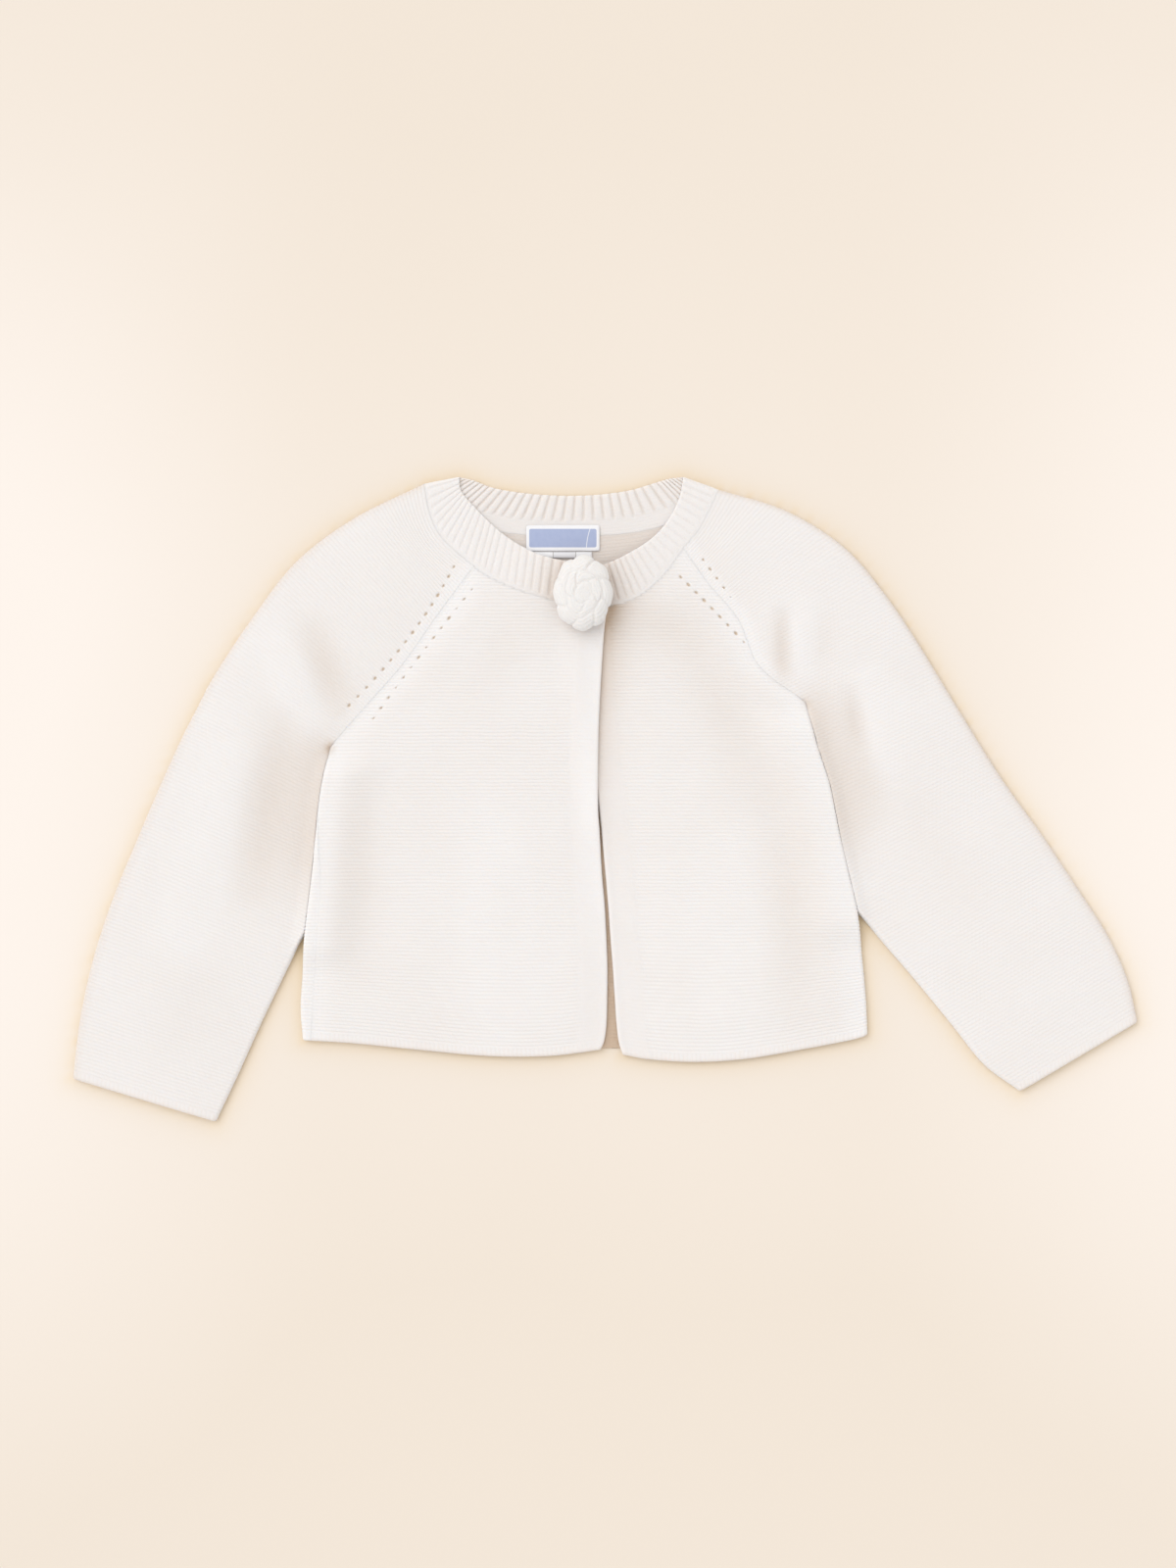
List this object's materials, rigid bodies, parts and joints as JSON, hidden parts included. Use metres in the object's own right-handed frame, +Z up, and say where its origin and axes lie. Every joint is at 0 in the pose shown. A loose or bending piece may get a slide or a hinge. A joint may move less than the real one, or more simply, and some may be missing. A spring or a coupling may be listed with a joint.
{
  "type": "baby raglan cardigan, laid flat",
  "caption": "Baby's knitted raglan cardigan laid flat, with a ribbed neckband, a crochet flower button and an open front",
  "frame": {"origin": "the middle of the garment's outline on the surface that it lies on", "axes": "+Z up from the surface, +Y towards the neck, +X towards the wearer's left sleeve"},
  "size_m": [0.564, 0.3416, 0.0247],
  "materials": {
    "knit": "off-white wool in fine purl ridges, matt with a short fuzz",
    "rib": "off-white one by one rib, matt",
    "crochet": "white crochet yarn, matt with a short fuzz",
    "woven_label": "woven satin label, pale blue field with a white border, no words",
    "satin_tab": "white satin tape, no words"
  },
  "bodies": {
    "root": {"back": "knit", "front_right": "knit", "front_left": "knit", "sleeve_right": "knit", "sleeve_left": "knit", "neckband": "rib", "flower_button": "crochet", "neck_label": "woven_label", "size_tab": "satin_tab"}
  },
  "joints": []
}
